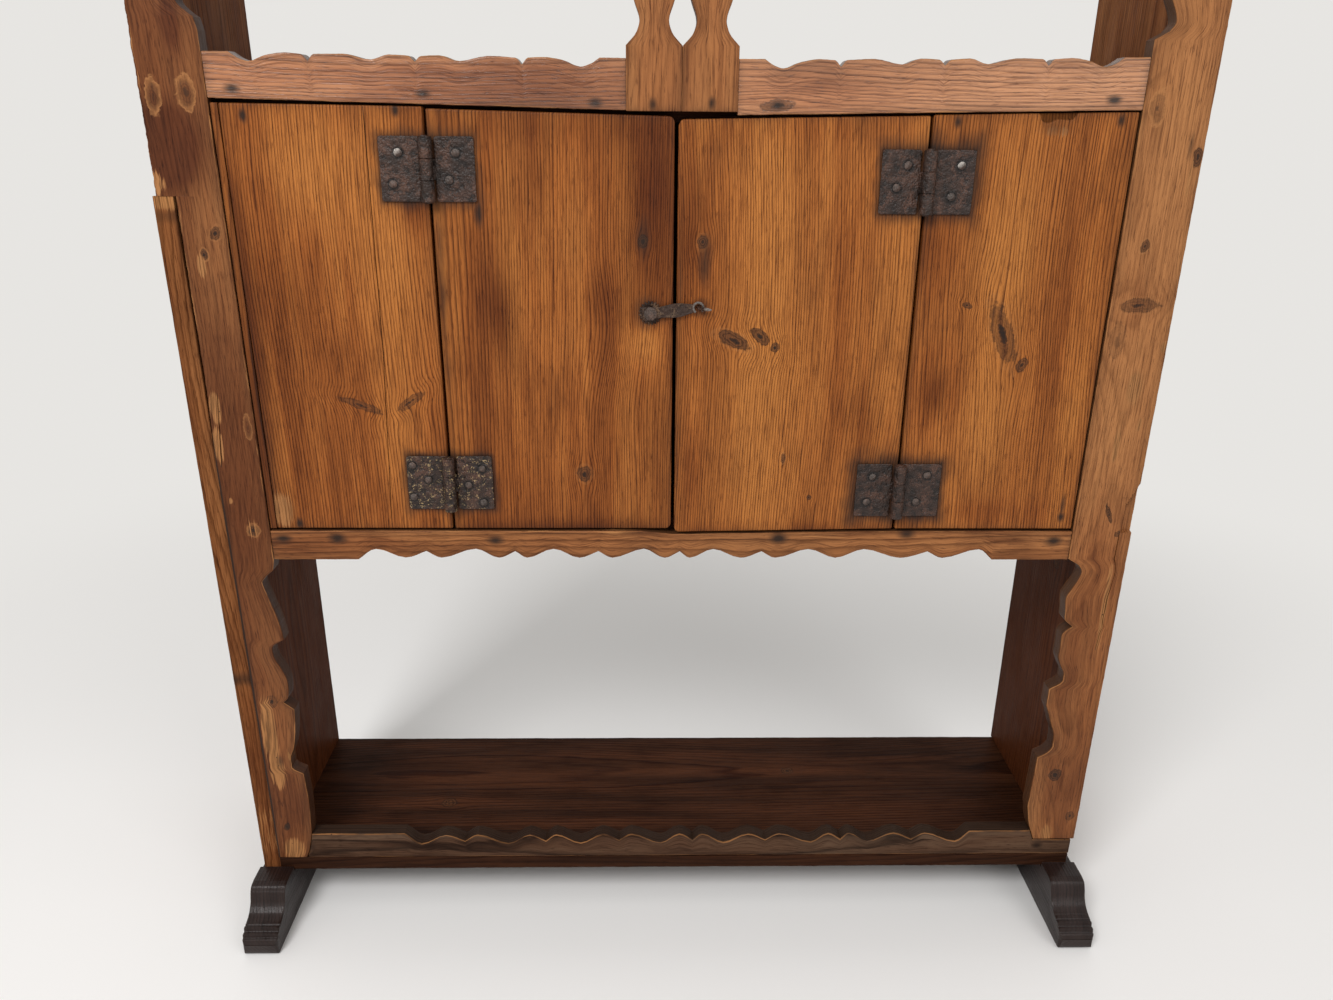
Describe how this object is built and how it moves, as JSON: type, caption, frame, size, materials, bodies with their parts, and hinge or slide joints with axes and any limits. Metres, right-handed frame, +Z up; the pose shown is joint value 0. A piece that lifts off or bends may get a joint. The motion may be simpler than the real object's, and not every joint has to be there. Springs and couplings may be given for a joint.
{
  "type": "trastero cabinet",
  "caption": "Rustic pine trastero cabinet with open bays, a small latched two-door cupboard, scalloped boards, a baluster pair and sledge feet.",
  "frame": {"origin": "on the floor, under the middle of the whole piece's width and depth", "axes": "+X to the viewer's right, +Y to the back, +Z up; the doors face -Y"},
  "size_m": [1.236, 0.399, 1.72],
  "materials": {
    "frame_pine": "old waxed pine, warm brown",
    "door_pine": "old waxed pine, honey to reddish brown",
    "dark_pine": "old waxed pine, very dark brown",
    "foot_wood": "nearly black stained wood",
    "iron": "hand-forged iron, dark with rust"
  },
  "bodies": {
    "carcass": {"left_side_board": "dark_pine", "right_side_board": "dark_pine", "left_stile": "frame_pine", "right_stile": "frame_pine", "bottom_shelf": "dark_pine", "shelf_lip": "frame_pine", "apron": "frame_pine", "cupboard_floor": "dark_pine", "cupboard_top": "dark_pine", "left_gallery_rail": "frame_pine", "right_gallery_rail": "frame_pine", "left_baluster": "frame_pine", "right_baluster": "frame_pine", "left_frieze": "frame_pine", "right_frieze": "frame_pine", "top_board": "frame_pine", "left_fixed_panel": "door_pine", "right_fixed_panel": "door_pine", "panel_filler_strip": "door_pine", "back_board_1": "dark_pine", "back_board_2": "dark_pine", "back_board_3": "dark_pine", "back_board_4": "dark_pine", "left_foot": "foot_wood", "right_foot": "foot_wood", "upper_left_fixed_leaf": "iron", "upper_right_fixed_leaf": "iron", "lower_left_fixed_leaf": "iron", "lower_right_fixed_leaf": "iron", "upper_left_hinge_pin": "iron", "upper_right_hinge_pin": "iron", "lower_left_hinge_pin": "iron", "lower_right_hinge_pin": "iron", "hinge_nails_panels": "iron"},
    "left_door": {"left_door": "door_pine", "upper_left_door_leaf": "iron", "lower_left_door_leaf": "iron", "hinge_nails_left_door": "iron", "latch_rosette": "iron", "latch_pivot_nail": "iron"},
    "right_door": {"right_door": "door_pine", "upper_right_door_leaf": "iron", "lower_right_door_leaf": "iron", "hinge_nails_right_door": "iron", "latch_catch_nail": "iron"},
    "latch": {"latch_strap": "iron"}
  },
  "joints": [
    {"name": "left_door_hinge", "type": "hinge", "parent": "carcass", "child": "left_door", "pos_m": [-0.285, -0.1118, 0.87], "axis": [0, 0, -1], "range_deg": [0, 170]},
    {"name": "right_door_hinge", "type": "hinge", "parent": "carcass", "child": "right_door", "pos_m": [0.285, -0.1118, 0.87], "axis": [0, 0, 1], "range_deg": [0, 170]},
    {"name": "latch_pivot", "type": "hinge", "parent": "left_door", "child": "latch", "pos_m": [-0.032, -0.1075, 0.897], "axis": [0, -1, 0], "range_deg": [0, 180]}
  ]
}
